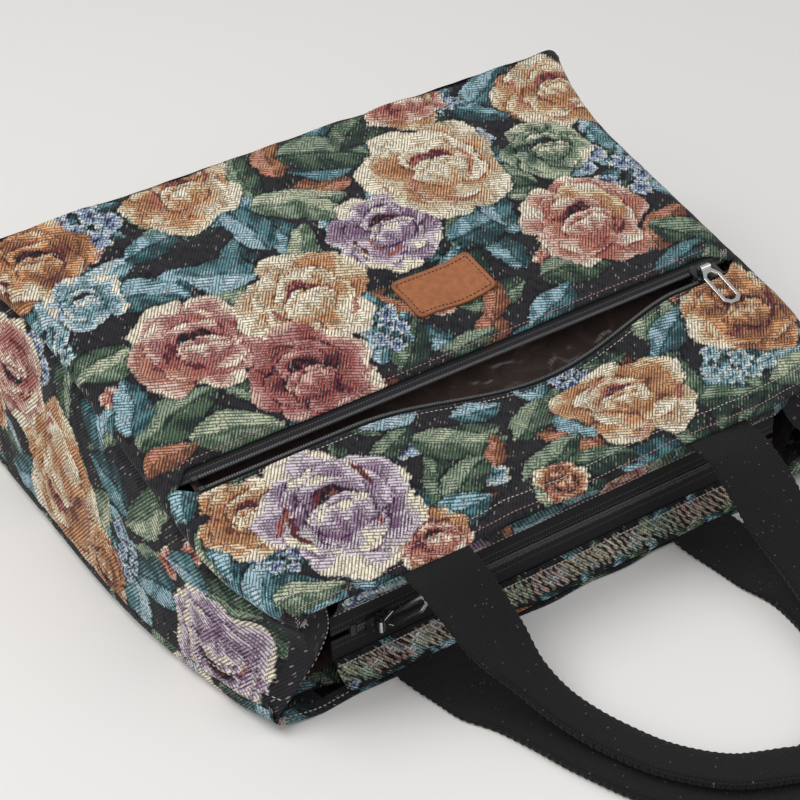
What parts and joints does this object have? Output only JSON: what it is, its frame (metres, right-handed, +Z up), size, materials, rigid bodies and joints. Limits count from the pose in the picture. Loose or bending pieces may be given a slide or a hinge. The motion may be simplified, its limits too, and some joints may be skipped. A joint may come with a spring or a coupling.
{
  "type": "tote bag",
  "caption": "Structured fabric tote bag lying on its back, with a recessed mouth zip, a front zip pocket, webbing handles and a small leather tag.",
  "frame": {"origin": "bottom centre of the whole bag as it lies on its back panel, handles included", "axes": "+X across the bag, +Y from the mouth towards the base, +Z up through the front panel"},
  "size_m": [0.404, 0.4844, 0.13],
  "materials": {
    "tapestry": "jacquard weave of flowers and leaves on a near-black ground",
    "lining": "dark brown satin",
    "zip_tape": "fine black tape",
    "zip_teeth": "black coil",
    "slider_metal": "black enamel, worn bright at its edges",
    "pull_metal": "polished nickel",
    "webbing": "ribbed black cotton webbing",
    "leather": "tan, stitched, smooth"
  },
  "bodies": {
    "root": {"front_lower_panel": "tapestry", "front_upper_panel": "tapestry", "back_panel": "tapestry", "left_gusset": "tapestry", "right_gusset": "tapestry", "base_panel": "tapestry", "front_zip_facing": "tapestry", "back_zip_facing": "tapestry", "front_lining": "lining", "back_lining": "lining", "left_lining": "lining", "right_lining": "lining", "base_lining": "lining", "pocket_front_lining": "lining", "pocket_back_lining": "lining", "pocket_zip_upper_tape": "zip_tape", "pocket_zip_lower_tape": "zip_tape", "main_zip_front_tape": "zip_tape", "main_zip_back_tape": "zip_tape", "pocket_zip_upper_teeth": "zip_teeth", "pocket_zip_lower_teeth": "zip_teeth", "main_zip_front_teeth": "zip_teeth", "main_zip_back_teeth": "zip_teeth", "pocket_zip_stops": "pull_metal", "main_zip_stops": "pull_metal", "front_handle": "webbing", "back_handle": "webbing", "leather_tag": "leather"},
    "pocket_slider": {"pocket_zip_slider": "slider_metal"},
    "pocket_pull": {"pocket_zip_pull": "pull_metal"},
    "main_slider": {"main_zip_slider": "slider_metal"},
    "main_pull": {"main_zip_pull": "pull_metal"}
  },
  "joints": [
    {"name": "pocket_zip_slide", "type": "slide", "parent": "root", "child": "pocket_slider", "axis": [-1, 0, 0], "range_m": [0, 0.302]},
    {"name": "pocket_pull_swing", "type": "hinge", "parent": "pocket_slider", "child": "pocket_pull", "pos_m": [0.152, 0.03414, 0.08922], "axis": [-1, 0, 0], "range_deg": [0, 150]},
    {"name": "main_zip_slide", "type": "slide", "parent": "root", "child": "main_slider", "axis": [1, 0, 0], "range_m": [0, 0.225]},
    {"name": "main_pull_swing", "type": "hinge", "parent": "main_slider", "child": "main_pull", "pos_m": [-0.113, -0.04896, 0.028], "axis": [0, 0, -1], "range_deg": [0, 160]}
  ]
}
